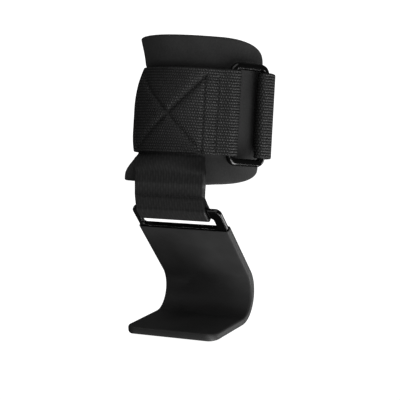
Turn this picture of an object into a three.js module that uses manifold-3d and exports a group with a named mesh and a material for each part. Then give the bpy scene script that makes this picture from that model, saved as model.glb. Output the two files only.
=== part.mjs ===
// Wrist cuff with a lifting hook: a foam pad wrapped to a cuff, a woven strap cinched through a
// rectangular ring, and a bent steel hook that hangs from a second strap at the front.
// Millimetres, +Z up, -Y out of the front, where the hook hangs, +X to the right, the ring's side.
// The origin is the middle of the cuff's hollow, at mid-height of the wrist strap.

import * as THREE from 'three';
import Module from 'manifold-3d';
import { mergeVertices } from 'three/addons/utils/BufferGeometryUtils.js';

const wasm = await Module();
wasm.setup();

// Clearance between neighbouring pieces, and a wider one under and over the hook strap, which bends
// sharply at the wrist strap's lower edge
const GAP = 0.3;
const BEND_GAP = 0.45;

// Pad
const WRIST_HALF_WIDTH = 31.5;
const WRIST_HALF_DEPTH = 23;
const PAD_THICK = 4.5;
const PAD_TOP = 44;
const PAD_BOTTOM = -42;
const PAD_END_AT = 48.5;
const PAD_SPLIT = 10;
const PAD_TOP_CORNER = { long: 38, high: 15 };
const PAD_BOTTOM_CORNER = { long: 42, high: 16 };

// The cuff's left side is narrower than its right side, most of all above and below its widest
// stretch: by this share for each square millimetre of height
const LEFT_SIDE = 0.974;
const WIDEST_FROM = -12;
const WIDEST_TO = 0;
const LEAN_END = 28;
const LEAN_RATE = 1.98e-4;

// How far the foam swells just beyond the strap that presses it in, and how far each rim turns
// outwards after that up to a height, on the right side and on the left side
const SWELL = {
  top: { right: 0.4, left: 4.9, wide: 3 },
  bottom: { right: 0.4, left: 3, wide: 5.5 },
};
const RIM_FLARE = {
  top: { right: 0.3, left: 7.5, full: 56 },
  bottom: { right: 0.6, left: 7.2, full: 39 },
};

// Wrist strap
const WRIST_STRAP_WIDE = 50;
const WRIST_STRAP_THICK = 1.8;
const STRAP_ROWS = 6;

// Ring: places of its two upright bars along the pad's surface
const RING_WIRE = 4.4;
const RING_AT = -0.3;
const RING_INNER_HIGH = 51.4;
const RING_CORNER = 3.4;
const LEFT_BAR_AT = 17.2;
const RIGHT_BAR_AT = 35.5;
const RIGHT_BAR_LIFT = 7.4;

// Hook strap
const HOOK_STRAP_WIDE = 44.5;
const HOOK_STRAP_THICK = 1.7;
const HOOK_STRAP_TOP = 22;
const HOOK_STRAP_AT = -17.8;
const HOOK_STRAP_SHIFT = -1.7;

// Hook
const STEEL_THICK = 3;
const STEEL_WIDE = 57;
const HOOK_TOP = new THREE.Vector3(-11.3, -31.3, -56.7);
const HOOK_TURN = THREE.MathUtils.degToRad(25);
const SHANK_TILT = THREE.MathUtils.degToRad(52.8);
const BEND_ANGLE = THREE.MathUtils.degToRad(132.7);
const BEND_RADIUS = 16.2;
const SHANK_LONG = 61;
const LIP_LONG = 40.4;
const TOP_CORNER = 4;
const LIP_CORNER = 6.5;
const SLOT_BAR = 6.5;
const SLOT_HIGH = 9.8;
const SLOT_WIDE = 48;
const SLOT_CORNER = 2;
const SLOT_SHIFT = -1.4;

// Coat
const COAT_WALL = 0.6;
const COAT_CLEAR = 0.2;
const COAT_START = 17.3;

// Heights of the strap middles over the pad, worked out from the layers under them
const WRIST_STRAP_LIFT = GAP + WRIST_STRAP_THICK / 2;
const BACK_LAYER_LIFT = BEND_GAP + HOOK_STRAP_THICK / 2;
const FRONT_LAYER_LIFT = BACK_LAYER_LIFT + HOOK_STRAP_THICK + GAP;
const HOOK_STRAP_LIFT = FRONT_LAYER_LIFT + HOOK_STRAP_THICK / 2;
const OVER_HOOK_STRAP_LIFT = HOOK_STRAP_LIFT + BEND_GAP + WRIST_STRAP_THICK / 2;
const BAR_WRAP_RADIUS = RING_WIRE / 2 + WRIST_STRAP_LIFT + 0.15;
const LEFT_BAR_LIFT = WRIST_STRAP_LIFT + BAR_WRAP_RADIUS;
const TAIL_LIFT = WRIST_STRAP_LIFT + WRIST_STRAP_THICK + GAP;
const HALF_STRAP = WRIST_STRAP_WIDE / 2;

function smooth(from, to, value) {
  return THREE.MathUtils.smoothstep(value, from, to);
}

function stepsBetween(from, to, step) {
  const count = Math.max(1, Math.round(Math.abs(to - from) / step));
  return Array.from({ length: count + 1 }, (_, i) => from + ((to - from) * i) / count);
}

// The pad's outer face, measured along its surface from the middle of the front:
// positive to the right
const padOutline = new THREE.EllipseCurve(
  0,
  0,
  WRIST_HALF_WIDTH + PAD_THICK,
  WRIST_HALF_DEPTH + PAD_THICK,
  -Math.PI / 2,
  1.5 * Math.PI,
);
padOutline.arcLengthDivisions = 720;
const PAD_GIRTH = padOutline.getLength();

function padNormal(distance) {
  const along = THREE.MathUtils.euclideanModulo(distance, PAD_GIRTH);
  const tangent = padOutline.getTangent(padOutline.getUtoTmapping(0, along));
  return new THREE.Vector2(tangent.y, -tangent.x);
}

function onPad(distance, lift) {
  const along = THREE.MathUtils.euclideanModulo(distance, PAD_GIRTH);
  const point = padOutline.getPoint(padOutline.getUtoTmapping(0, along));
  return point.add(padNormal(distance).multiplyScalar(lift));
}

// How far the pad's outer face stands out at a height, beyond the strap that cinches it
function rimFlare(distance, z) {
  const side = z > 0 ? 'top' : 'bottom';
  const leftShare = ((1 - onPad(distance, 0).x / (WRIST_HALF_WIDTH + PAD_THICK)) / 2) ** 3;
  const toLeft = (sizes) => THREE.MathUtils.lerp(sizes.right, sizes.left, leftShare);
  const swollen = smooth(HALF_STRAP, HALF_STRAP + SWELL[side].wide, Math.abs(z));
  const turned = smooth(HALF_STRAP, RIM_FLARE[side].full, Math.abs(z));
  return toLeft(SWELL[side]) * swollen + toLeft(RIM_FLARE[side]) * turned;
}

// The cuff narrows on its left side, towards its top rim and towards its bottom rim
function leanIn(point) {
  const z = THREE.MathUtils.clamp(point.z, -LEAN_END, LEAN_END);
  const away = Math.max(0, z - WIDEST_TO, WIDEST_FROM - z);
  if (point.x < 0) point.x *= LEFT_SIDE - LEAN_RATE * away ** 2;
  return point;
}

function moveVertices(geometry, place) {
  const position = geometry.attributes.position;
  const point = new THREE.Vector3();
  for (let i = 0; i < position.count; i += 1) {
    point.fromBufferAttribute(position, i);
    position.setXYZ(i, ...place(point.clone(), i).toArray());
  }
  return faceOutwards(geometry);
}

function weld(geometry) {
  const bare = geometry.clone();
  bare.deleteAttribute('normal');
  bare.deleteAttribute('uv');
  bare.clearGroups();
  return mergeVertices(bare, 1e-4);
}

// A bent shape can come out mirrored: its triangles are turned round where its volume is negative
function faceOutwards(geometry) {
  const welded = weld(geometry);
  const corner = [new THREE.Vector3(), new THREE.Vector3(), new THREE.Vector3()];
  const index = welded.index.array;
  let volume = 0;
  for (let i = 0; i < index.length; i += 3) {
    corner.forEach((point, k) => point.fromBufferAttribute(welded.attributes.position, index[i + k]));
    volume += corner[0].dot(corner[1].clone().cross(corner[2]));
  }
  if (volume < 0) {
    for (let i = 0; i < index.length; i += 3) {
      [index[i], index[i + 1]] = [index[i + 1], index[i]];
    }
  }
  welded.computeVertexNormals();
  return welded;
}

// A flat sheet laid out with one row for each stop, then bent: place(across, side, along) gives the
// point, where side is -0.5 on one face and 0.5 on the other
function bentSheet(acrossStops, alongStops, place) {
  const flat = new THREE.BoxGeometry(1, 1, 1, acrossStops.length - 1, 1, alongStops.length - 1);
  return moveVertices(flat, (point) => {
    const column = Math.round((point.x + 0.5) * (acrossStops.length - 1));
    const row = Math.round((point.z + 0.5) * (alongStops.length - 1));
    return place(acrossStops[column], Math.sign(point.y) / 2, alongStops[row]);
  });
}

function toSolid(geometry) {
  const welded = weld(geometry);
  const mesh = new wasm.Mesh({
    numProp: 3,
    vertProperties: Float32Array.from(welded.attributes.position.array),
    triVerts: Uint32Array.from(welded.index.array),
  });
  return new wasm.Manifold(mesh);
}

function toGeometry(solid) {
  const mesh = solid.getMesh();
  const geometry = new THREE.BufferGeometry();
  geometry.setAttribute('position', new THREE.BufferAttribute(mesh.vertProperties, 3));
  geometry.setIndex(new THREE.BufferAttribute(mesh.triVerts, 1));
  geometry.computeVertexNormals();
  return geometry;
}

function named(name, geometry, material) {
  const mesh = new THREE.Mesh(geometry, material);
  mesh.name = name;
  return mesh;
}

const neoprene = new THREE.MeshStandardMaterial({ color: 0x2b2b2d, roughness: 0.85, metalness: 0 });
const webbing = new THREE.MeshStandardMaterial({ color: 0x202022, roughness: 0.8, metalness: 0 });
const blackPaint = new THREE.MeshStandardMaterial({ color: 0x0b0b0c, roughness: 0.25, metalness: 0.3 });
const rubberCoat = new THREE.MeshStandardMaterial({ color: 0x303033, roughness: 0.6, metalness: 0 });

// How far a rounded corner drops from the side's full height, near the end of that side
function cornerDrop(toEnd, long, high = long) {
  const rest = THREE.MathUtils.clamp(1 - toEnd / long, 0, 1);
  return high * (1 - Math.sqrt(1 - rest ** 2));
}

// Pad: one foam sheet with long, shallow corners, wrapped to a cuff and open by a split at the back,
// on the right. Its rims stand out beyond the strap that cinches it.

function makePad() {
  const from = PAD_END_AT + PAD_SPLIT - PAD_GIRTH;
  const rows = [
    ...[PAD_BOTTOM, -37, -33.5, -HALF_STRAP - SWELL.bottom.wide],
    ...stepsBetween(-HALF_STRAP, HALF_STRAP, WRIST_STRAP_WIDE / STRAP_ROWS),
    ...[HALF_STRAP + SWELL.top.wide, 35, 40, PAD_TOP],
  ];
  const cornerStops = [0, 0.4, 1.4, 3, 5, 8, 11.5];
  const alongStops = [
    ...cornerStops.map((stop) => from + stop),
    ...stepsBetween(from + 15, PAD_END_AT - 15, 4),
    ...cornerStops.map((stop) => PAD_END_AT - stop).reverse(),
  ];
  return bentSheet(rows, alongStops, (height, side, along) => {
    const rim = height > 0 ? PAD_TOP : -PAD_BOTTOM;
    const corner = height > 0 ? PAD_TOP_CORNER : PAD_BOTTOM_CORNER;
    const toEnd = Math.min(along - from, PAD_END_AT - along);
    const rimHere = rim - cornerDrop(toEnd, corner.long, corner.high);
    const beyondStrap = Math.max(0, Math.abs(height) - HALF_STRAP) / (rim - HALF_STRAP);
    const reach = Math.min(Math.abs(height), HALF_STRAP) + (rimHere - HALF_STRAP) * beyondStrap;
    const z = Math.sign(height) * reach;
    const spot = onPad(along, rimFlare(along, z) + (side - 0.5) * PAD_THICK);
    return leanIn(new THREE.Vector3(spot.x, spot.y, z));
  });
}

// A strap that runs round the cuff on edge: the outline of its route, extruded to its width
function ribbonRound(route, thick, wide) {
  const outer = [];
  const inner = [];
  route.forEach((point, i) => {
    const before = route[Math.max(0, i - 1)];
    const after = route[Math.min(route.length - 1, i + 1)];
    const heading = after.clone().sub(before).normalize();
    const aside = new THREE.Vector2(heading.y, -heading.x).multiplyScalar(thick / 2);
    outer.push(point.clone().add(aside));
    inner.push(point.clone().sub(aside));
  });
  const shape = new THREE.Shape([...outer, ...inner.reverse()]);
  const sweep = { depth: wide, steps: STRAP_ROWS, bevelEnabled: false };
  const ribbon = new THREE.ExtrudeGeometry(shape, sweep);
  return moveVertices(ribbon.translate(0, 0, -wide / 2), leanIn);
}

// Points of a run over the pad, from rows of place and lift
function runOverPad(rows) {
  const points = [];
  for (let i = 0; i + 1 < rows.length; i += 1) {
    const [start, end] = [rows[i], rows[i + 1]];
    const stops = stepsBetween(start.at, end.at, end.step ?? 2).slice(0, -1);
    stops.forEach((at) => {
      const share = smooth(start.at, end.at, start.at < end.at ? at : start.at + end.at - at);
      const mix = start.at < end.at ? share : 1 - smooth(end.at, start.at, at);
      points.push(onPad(at, THREE.MathUtils.lerp(start.lift, end.lift, mix)));
    });
  }
  const last = rows[rows.length - 1];
  points.push(onPad(last.at, last.lift));
  return points;
}

// Half a turn round a bar of the ring, from its pad side to its outer side
function turnRoundBar(at, lift, sense) {
  const centre = onPad(at, lift);
  const start = padNormal(at).negate().angle();
  return [1, 2, 3, 4, 5, 6, 7].map((step) => {
    const angle = start + (sense * Math.PI * step) / 8;
    const reach = new THREE.Vector2(Math.cos(angle), Math.sin(angle)).multiplyScalar(BAR_WRAP_RADIUS);
    return centre.clone().add(reach);
  });
}

const HOOK_STRAP_RIGHT = HOOK_STRAP_AT + HOOK_STRAP_WIDE / 2;
const HOOK_STRAP_LEFT = HOOK_STRAP_AT - HOOK_STRAP_WIDE / 2;
const LEFT_SEAM_AT = 10.2;
const SEAM_LIFT = OVER_HOOK_STRAP_LIFT + 0.2;

// Wrist strap: its fixed end is doubled under the ring's left bar and sewn down beside the hook strap.
// It then crosses the hook strap, goes round the left side and the back, comes up through the ring
// and turns back over itself to its free end.
function makeWristStrap() {
  const underLayer = [
    { at: HOOK_STRAP_RIGHT + 1.2, lift: SEAM_LIFT - WRIST_STRAP_THICK - GAP - 0.2 },
    { at: LEFT_SEAM_AT, lift: SEAM_LIFT - WRIST_STRAP_THICK - GAP },
    { at: LEFT_BAR_AT, lift: WRIST_STRAP_LIFT },
  ];
  const overAndRound = [
    { at: LEFT_BAR_AT, lift: LEFT_BAR_LIFT + BAR_WRAP_RADIUS },
    { at: LEFT_SEAM_AT, lift: SEAM_LIFT },
    { at: HOOK_STRAP_RIGHT, lift: OVER_HOOK_STRAP_LIFT },
    { at: HOOK_STRAP_LEFT, lift: OVER_HOOK_STRAP_LIFT, step: 3 },
    { at: HOOK_STRAP_LEFT - 8, lift: WRIST_STRAP_LIFT },
    { at: RIGHT_BAR_AT + 10 - PAD_GIRTH, lift: WRIST_STRAP_LIFT, step: 4 },
    { at: RIGHT_BAR_AT - PAD_GIRTH, lift: RIGHT_BAR_LIFT - BAR_WRAP_RADIUS },
  ];
  const tail = [
    { at: RIGHT_BAR_AT, lift: RIGHT_BAR_LIFT + BAR_WRAP_RADIUS },
    { at: RIGHT_BAR_AT + 18, lift: TAIL_LIFT },
    { at: RIGHT_BAR_AT + 62, lift: TAIL_LIFT, step: 4 },
  ];
  const route = [
    ...runOverPad(underLayer),
    ...turnRoundBar(LEFT_BAR_AT, LEFT_BAR_LIFT, -1),
    ...runOverPad(overAndRound),
    ...turnRoundBar(RIGHT_BAR_AT, RIGHT_BAR_LIFT, 1),
    ...runOverPad(tail),
  ];
  return ribbonRound(route, WRIST_STRAP_THICK, WRIST_STRAP_WIDE);
}

// Ring: round wire bent to a rectangle with rounded corners
function makeRing() {
  const left = onPad(LEFT_BAR_AT, LEFT_BAR_LIFT);
  const right = onPad(RIGHT_BAR_AT, RIGHT_BAR_LIFT);
  const across = right.clone().sub(left);
  const halfWide = across.length() / 2;
  const halfHigh = (RING_INNER_HIGH + RING_WIRE) / 2;
  across.normalize();
  const wire = new THREE.Path();
  wire.moveTo(halfWide, 0);
  wire.absarc(halfWide - RING_CORNER, halfHigh - RING_CORNER, RING_CORNER, 0, Math.PI / 2);
  wire.absarc(RING_CORNER - halfWide, halfHigh - RING_CORNER, RING_CORNER, Math.PI / 2, Math.PI);
  wire.absarc(RING_CORNER - halfWide, RING_CORNER - halfHigh, RING_CORNER, Math.PI, 1.5 * Math.PI);
  wire.absarc(halfWide - RING_CORNER, RING_CORNER - halfHigh, RING_CORNER, 1.5 * Math.PI, 2 * Math.PI);
  wire.closePath();
  const middle = left.clone().lerp(right, 0.5);
  const round = new THREE.TorusGeometry(1, RING_WIRE / 2 / 100, 10, 72);
  const turn = round.attributes.uv;
  return moveVertices(round, (point, i) => {
    const along = turn.getX(i) % 1;
    const spot = wire.getPointAt(along);
    const heading = wire.getTangentAt(along);
    const outwards = (Math.hypot(point.x, point.y) - 1) * 100;
    const forwards = point.z * 100;
    spot.add(new THREE.Vector2(heading.y, -heading.x).multiplyScalar(outwards));
    return new THREE.Vector3(
      middle.x + across.x * spot.x + across.y * forwards,
      middle.y + across.y * spot.x - across.x * forwards,
      spot.y + RING_AT,
    );
  });
}

// The hook's side view, y towards the back and z up: a straight shank, a bend and a straight
// lip. Heading is the angle from straight down.
function heading(angle) {
  return new THREE.Vector2(Math.sin(angle), -Math.cos(angle));
}

function hookFront(angle) {
  return new THREE.Vector2(-Math.cos(angle), -Math.sin(angle));
}

const SHANK_DOWN = heading(SHANK_TILT);
const SHANK_FRONT = hookFront(SHANK_TILT);
const HOOK_LONG = SHANK_LONG + BEND_RADIUS * BEND_ANGLE + LIP_LONG;

function hookSide(along, offset) {
  const turned = THREE.MathUtils.clamp((along - SHANK_LONG) / BEND_RADIUS, 0, BEND_ANGLE);
  const angle = SHANK_TILT - turned;
  const past = Math.max(0, along - SHANK_LONG - BEND_RADIUS * BEND_ANGLE);
  const spot = SHANK_DOWN.clone().multiplyScalar(Math.min(along, SHANK_LONG));
  spot.add(SHANK_FRONT.clone().multiplyScalar(BEND_RADIUS));
  spot.sub(hookFront(angle).multiplyScalar(BEND_RADIUS - offset));
  return spot.add(heading(angle).multiplyScalar(past));
}

// A bent plate with rounded corners, grown by the same amount on every side but its top
function hookPlate(start, grow, thick) {
  const end = HOOK_LONG + grow;
  const bendEnd = SHANK_LONG + BEND_RADIUS * BEND_ANGLE;
  const lipRound = LIP_CORNER + grow;
  const alongStops = [
    ...(start === 0 ? [0, 0.3, 1.2, 2.4] : []),
    Math.max(start, TOP_CORNER),
    ...stepsBetween(SHANK_LONG, bendEnd, 2.2),
    ...[1, 0.72, 0.48, 0.28, 0.12, 0.03, 0].map((share) => end - lipRound * share),
  ];
  return bentSheet([-1, 1], alongStops, (across, side, along) => {
    const top = start === 0 ? cornerDrop(along, TOP_CORNER) : 0;
    const half = STEEL_WIDE / 2 + grow - top - cornerDrop(end - along, lipRound);
    const spot = hookSide(along, side * thick);
    return new THREE.Vector3(across * half, spot.x, spot.y);
  });
}

// Hook plate: flat steel bar, slotted near its top for the hook strap and bent to a J
function makeHookPlate() {
  const halfWide = SLOT_WIDE / 2 - SLOT_CORNER;
  const halfHigh = SLOT_HIGH / 2 - SLOT_CORNER;
  const outline = new THREE.Shape();
  outline.absarc(halfWide, halfHigh, SLOT_CORNER, 0, Math.PI / 2);
  outline.absarc(-halfWide, halfHigh, SLOT_CORNER, Math.PI / 2, Math.PI);
  outline.absarc(-halfWide, -halfHigh, SLOT_CORNER, Math.PI, 1.5 * Math.PI);
  outline.absarc(halfWide, -halfHigh, SLOT_CORNER, 1.5 * Math.PI, 2 * Math.PI);
  const cut = { depth: 4 * STEEL_THICK, bevelEnabled: false, curveSegments: 5 };
  const slot = new THREE.ExtrudeGeometry(outline, cut);
  slot.translate(SLOT_SHIFT, 0, -2 * STEEL_THICK);
  slot.rotateX(-SHANK_TILT + Math.PI / 2);
  const middle = hookSide(SLOT_BAR + SLOT_HIGH / 2, 0);
  slot.translate(0, middle.x, middle.y);
  return toGeometry(toSolid(hookPlate(0, 0, STEEL_THICK)).subtract(toSolid(slot)));
}

// Coat: a dipped rubber sleeve over the rest of the plate, closed at the lip
function makeHookCoat() {
  const outer = hookPlate(COAT_START, COAT_CLEAR + COAT_WALL, STEEL_THICK + 2 * (COAT_CLEAR + COAT_WALL));
  const inner = hookPlate(COAT_START - 6, COAT_CLEAR, STEEL_THICK + 2 * COAT_CLEAR);
  return toGeometry(toSolid(outer).subtract(toSolid(inner)));
}

// Hook strap: one length of webbing doubled over the bar above the slot. Both layers are sewn together
// just over the hook and again under the wrist strap. It follows the pad's curve there and is flat
// where it hangs.
const HANG_FROM = -HALF_STRAP - 1;
const FLAT_FROM = -38;
const PINCH = -50;
const PINCH_BACK = 0.2;
const HANG_FORWARD = -5.6;
const LAYER_STEP = HOOK_STRAP_THICK + GAP;
const BAR_CLEAR = GAP + HOOK_STRAP_THICK / 2;

function cornerArc(centre, from, to) {
  const start = from.angle();
  const sweep = THREE.MathUtils.euclideanModulo(to.angle() - start, 2 * Math.PI);
  const count = Math.max(2, Math.round(sweep / 0.4));
  return Array.from({ length: count + 1 }, (_, i) => {
    const angle = start + (sweep * i) / count;
    const reach = new THREE.Vector2(Math.cos(angle), Math.sin(angle)).multiplyScalar(BAR_CLEAR);
    return centre.clone().add(reach);
  });
}

function makeHookStrap() {
  const heights = [
    ...stepsBetween(HOOK_STRAP_TOP, -HALF_STRAP, 3.4),
    ...stepsBetween(-HALF_STRAP - SWELL.bottom.wide, PINCH, 3.4),
  ];
  const layer = (lift, back) => heights.map((z) => {
    const rim = smooth(PINCH, PAD_BOTTOM, z);
    return {
      y: THREE.MathUtils.lerp(PINCH_BACK, HANG_FORWARD, rim) + back,
      z,
      lift,
      wrap: smooth(FLAT_FROM, HANG_FROM, z),
    };
  });
  const barFace = (side, along) =>
    SHANK_FRONT.clone()
      .multiplyScalar((side * STEEL_THICK) / 2)
      .add(SHANK_DOWN.clone().multiplyScalar(along));
  const roundBar = [
    ...cornerArc(barFace(1, 0), new THREE.Vector2(-1, 0), SHANK_FRONT),
    ...cornerArc(barFace(1, SLOT_BAR), SHANK_FRONT, SHANK_DOWN),
    ...cornerArc(barFace(-1, SLOT_BAR), SHANK_DOWN, SHANK_FRONT.clone().negate()),
    barFace(-1, 0).sub(SHANK_FRONT.clone().multiplyScalar(BAR_CLEAR)),
  ].map((spot) => ({ y: spot.x, z: spot.y + HOOK_TOP.z, lift: 0, wrap: 0 }));
  const route = [
    ...layer(FRONT_LAYER_LIFT, 0),
    ...roundBar,
    ...layer(BACK_LAYER_LIFT, LAYER_STEP).reverse(),
  ];
  const across = new THREE.Vector2(Math.cos(HOOK_TURN), -Math.sin(HOOK_TURN));
  const away = new THREE.Vector2(Math.sin(HOOK_TURN), Math.cos(HOOK_TURN));
  const spotAt = (row, aside) => {
    const flat = new THREE.Vector2(HOOK_TOP.x, HOOK_TOP.y)
      .add(across.clone().multiplyScalar(aside + HOOK_STRAP_SHIFT))
      .add(away.clone().multiplyScalar(row.y));
    const at = HOOK_STRAP_AT + aside;
    const round = onPad(at, row.lift + rimFlare(at, row.z));
    const lean = leanIn(new THREE.Vector3(round.x, round.y, row.z));
    return new THREE.Vector3(flat.x, flat.y, row.z).lerp(lean, row.wrap);
  };
  const rows = route.map((_, i) => i);
  const columns = stepsBetween(-HOOK_STRAP_WIDE / 2, HOOK_STRAP_WIDE / 2, 4.5);
  return bentSheet(columns, rows, (aside, side, i) => {
    const before = spotAt(route[Math.max(0, i - 1)], aside);
    const after = spotAt(route[Math.min(route.length - 1, i + 1)], aside);
    const left = spotAt(route[i], aside - 0.5);
    const right = spotAt(route[i], aside + 0.5);
    const normal = after.sub(before).cross(right.sub(left)).normalize();
    return spotAt(route[i], aside).add(normal.multiplyScalar(side * HOOK_STRAP_THICK));
  });
}

const group = new THREE.Group();
group.add(named('wrist_pad', makePad(), neoprene));
group.add(named('wrist_strap', makeWristStrap(), webbing));
group.add(named('strap_ring', makeRing(), blackPaint));
group.add(named('hook_strap', makeHookStrap(), webbing));

const hook = new THREE.Group();
hook.position.copy(HOOK_TOP);
hook.rotation.z = -HOOK_TURN;
hook.add(named('hook_plate', makeHookPlate(), blackPaint));
hook.add(named('hook_coat', makeHookCoat(), rubberCoat));
group.add(hook);

export default group;
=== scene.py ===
import math

import bmesh
import bpy
import numpy as np
from mathutils import Matrix, Vector


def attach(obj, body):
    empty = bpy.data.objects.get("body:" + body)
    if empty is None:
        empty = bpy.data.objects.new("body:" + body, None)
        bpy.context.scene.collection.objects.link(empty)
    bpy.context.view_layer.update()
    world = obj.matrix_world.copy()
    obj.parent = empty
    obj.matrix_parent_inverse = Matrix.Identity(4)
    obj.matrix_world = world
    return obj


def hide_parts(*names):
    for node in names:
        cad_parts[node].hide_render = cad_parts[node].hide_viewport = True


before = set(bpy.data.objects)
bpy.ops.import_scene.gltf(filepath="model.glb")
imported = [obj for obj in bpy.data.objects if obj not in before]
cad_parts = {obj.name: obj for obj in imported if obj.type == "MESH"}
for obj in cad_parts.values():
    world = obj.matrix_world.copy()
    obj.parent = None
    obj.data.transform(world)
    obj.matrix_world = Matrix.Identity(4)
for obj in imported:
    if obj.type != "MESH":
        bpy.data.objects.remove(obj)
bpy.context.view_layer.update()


# Wrist pad
# A sheet of neoprene foam faced with nylon jersey, die cut and wrapped once round to a cuff.
# Its rims stand out beyond the strap that cinches it, and its two ends nearly meet on the right,
# just behind the ring.

MM = 0.001
PAD_HALF_WIDE = 36.0
PAD_HALF_DEEP = 27.5
PAD_THICK = 4.5
PAD_TOP = 44.0
PAD_BOTTOM = -42.0
PAD_END_AT = 48.5
PAD_SPLIT = 10.0
PAD_TOP_CORNER = (38.0, 15.0)
PAD_BOTTOM_CORNER = (42.0, 16.0)
PAD_EDGE = 1.5
PAD_SQUARE = 3.0
HALF_STRAP = 25.0
LEFT_SIDE = 0.974
WIDEST_FROM = -12.0
WIDEST_TO = 0.0
LEAN_END = 28.0
LEAN_RATE = 1.98e-4
SWELL_RIGHT = 0.4
TOP_SWELL_LEFT = 4.9
TOP_SWELL_WIDE = 3.0
BOTTOM_SWELL_LEFT = 3.0
BOTTOM_SWELL_WIDE = 5.5
TOP_FLARE_RIGHT = 0.3
TOP_FLARE_LEFT = 7.5
TOP_FLARE_FULL = 56.0
BOTTOM_FLARE_RIGHT = 0.6
BOTTOM_FLARE_LEFT = 7.2
BOTTOM_FLARE_FULL = 39.0
PAD_WAVE = 0.35
PAD_STEP = 1.6

ellipse_turn = np.linspace(-math.pi / 2, 1.5 * math.pi, 7201)
ellipse_spots = np.stack(
    [PAD_HALF_WIDE * np.cos(ellipse_turn), PAD_HALF_DEEP * np.sin(ellipse_turn)], axis=-1
)
ellipse_steps = np.linalg.norm(np.diff(ellipse_spots, axis=0), axis=-1)
ellipse_length = np.concatenate([[0.0], np.cumsum(ellipse_steps)])
PAD_GIRTH = ellipse_length[-1]


def on_pad(distance, lift):
    """A point over the pad, measured round its surface from the middle of the front."""
    turn = np.interp(np.mod(distance, PAD_GIRTH), ellipse_length, ellipse_turn)
    spot = np.stack([PAD_HALF_WIDE * np.cos(turn), PAD_HALF_DEEP * np.sin(turn)], axis=-1)
    normal = np.stack([PAD_HALF_DEEP * np.cos(turn), PAD_HALF_WIDE * np.sin(turn)], axis=-1)
    normal /= np.linalg.norm(normal, axis=-1, keepdims=True)
    return spot + normal * np.asarray(lift)[..., None]


def smooth_step(low, high, value):
    share = np.clip((value - low) / (high - low), 0, 1)
    return share * share * (3 - 2 * share)


def mix(start, end, share):
    return start + (end - start) * share


def rim_flare(distance, z):
    """How far the pad stands out at a height, beyond the strap that cinches it."""
    height = np.abs(z)
    left_share = ((1 - on_pad(distance, np.zeros_like(z))[..., 0] / PAD_HALF_WIDE) / 2) ** 3
    top_swell = smooth_step(HALF_STRAP, HALF_STRAP + TOP_SWELL_WIDE, height)
    bottom_swell = smooth_step(HALF_STRAP, HALF_STRAP + BOTTOM_SWELL_WIDE, height)
    top_turn = smooth_step(HALF_STRAP, TOP_FLARE_FULL, height)
    bottom_turn = smooth_step(HALF_STRAP, BOTTOM_FLARE_FULL, height)
    top = mix(SWELL_RIGHT, TOP_SWELL_LEFT, left_share) * top_swell
    top = top + mix(TOP_FLARE_RIGHT, TOP_FLARE_LEFT, left_share) * top_turn
    bottom = mix(SWELL_RIGHT, BOTTOM_SWELL_LEFT, left_share) * bottom_swell
    bottom = bottom + mix(BOTTOM_FLARE_RIGHT, BOTTOM_FLARE_LEFT, left_share) * bottom_turn
    return np.where(z > 0, top, bottom)


def lean_in(x, z):
    """Narrows the cuff on its left side, towards its top and its bottom rim."""
    height = np.clip(z, -LEAN_END, LEAN_END)
    away = np.maximum(0, np.maximum(height - WIDEST_TO, WIDEST_FROM - height))
    return np.where(x < 0, x * (LEFT_SIDE - LEAN_RATE * away**2), x)


def corner_drop(to_end, long, high):
    """How far a rounded corner drops from the side's full height, near that side's end."""
    rest = np.clip(1 - to_end / long, 0, 1)
    return high * (1 - np.sqrt(1 - rest**2))


def edge_stops(low, high, edge, step, square=2.0):
    """Stops from low to high, close together where an edge is rounded."""
    turn = np.linspace(0, math.pi / 2, 6)[:-1]
    curve = edge * (1 - np.cos(turn) ** (2 / square))
    count = max(1, round((high - low - 2 * edge) / step))
    flat = np.linspace(low + edge, high - edge, count + 1)
    return np.concatenate([low + curve, flat, (high - curve)[::-1]])


def rounded(inset, edge, square):
    share = np.clip(inset / edge, 0, 1)
    return (1 - (1 - share) ** square) ** (1 / square)


def quads(number):
    corners = [number[:-1, :-1], number[1:, :-1], number[1:, 1:], number[:-1, 1:]]
    return np.stack(corners, axis=-1).reshape(-1, 4)


def two_faces(across, along, middle, half_thick, edge, square=2.0, mouth=False):
    """Points, faces, flat places and the mouth's loop of a sheet with rounded edges.

    middle gives the sheet's middle, half_thick the distance from there to each face.
    """
    along_here, across_here = np.meshgrid(along, across, indexing="ij")
    centre = middle(across_here, along_here)
    run = np.gradient(centre, along, axis=0)
    side = np.gradient(centre, across, axis=1)
    normal = np.cross(run, side)
    normal /= np.linalg.norm(normal, axis=-1, keepdims=True)
    aside = np.minimum(across_here - across[0], across[-1] - across_here)
    to_end = along[-1] - along_here
    if not mouth:
        to_end = np.minimum(to_end, along_here - along[0])
    shape = rounded(aside, edge, square) * rounded(to_end, edge, square)
    faces_at = []
    for face in (1, -1):
        reach = half_thick(across_here, along_here, face) * shape * face
        faces_at.append((centre + normal * reach[..., None]).reshape(-1, 3))
    number = np.arange(across_here.size).reshape(across_here.shape)
    other = np.where(shape > 0, number + across_here.size, number)
    flat_place = np.stack([across_here, along_here], axis=-1).reshape(-1, 2)
    loop = np.concatenate([number[0], other[0, ::-1][1:-1]])
    faces = np.concatenate([quads(number), quads(other)[:, ::-1]])
    return np.concatenate(faces_at), faces, np.concatenate([flat_place, flat_place]), loop


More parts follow.
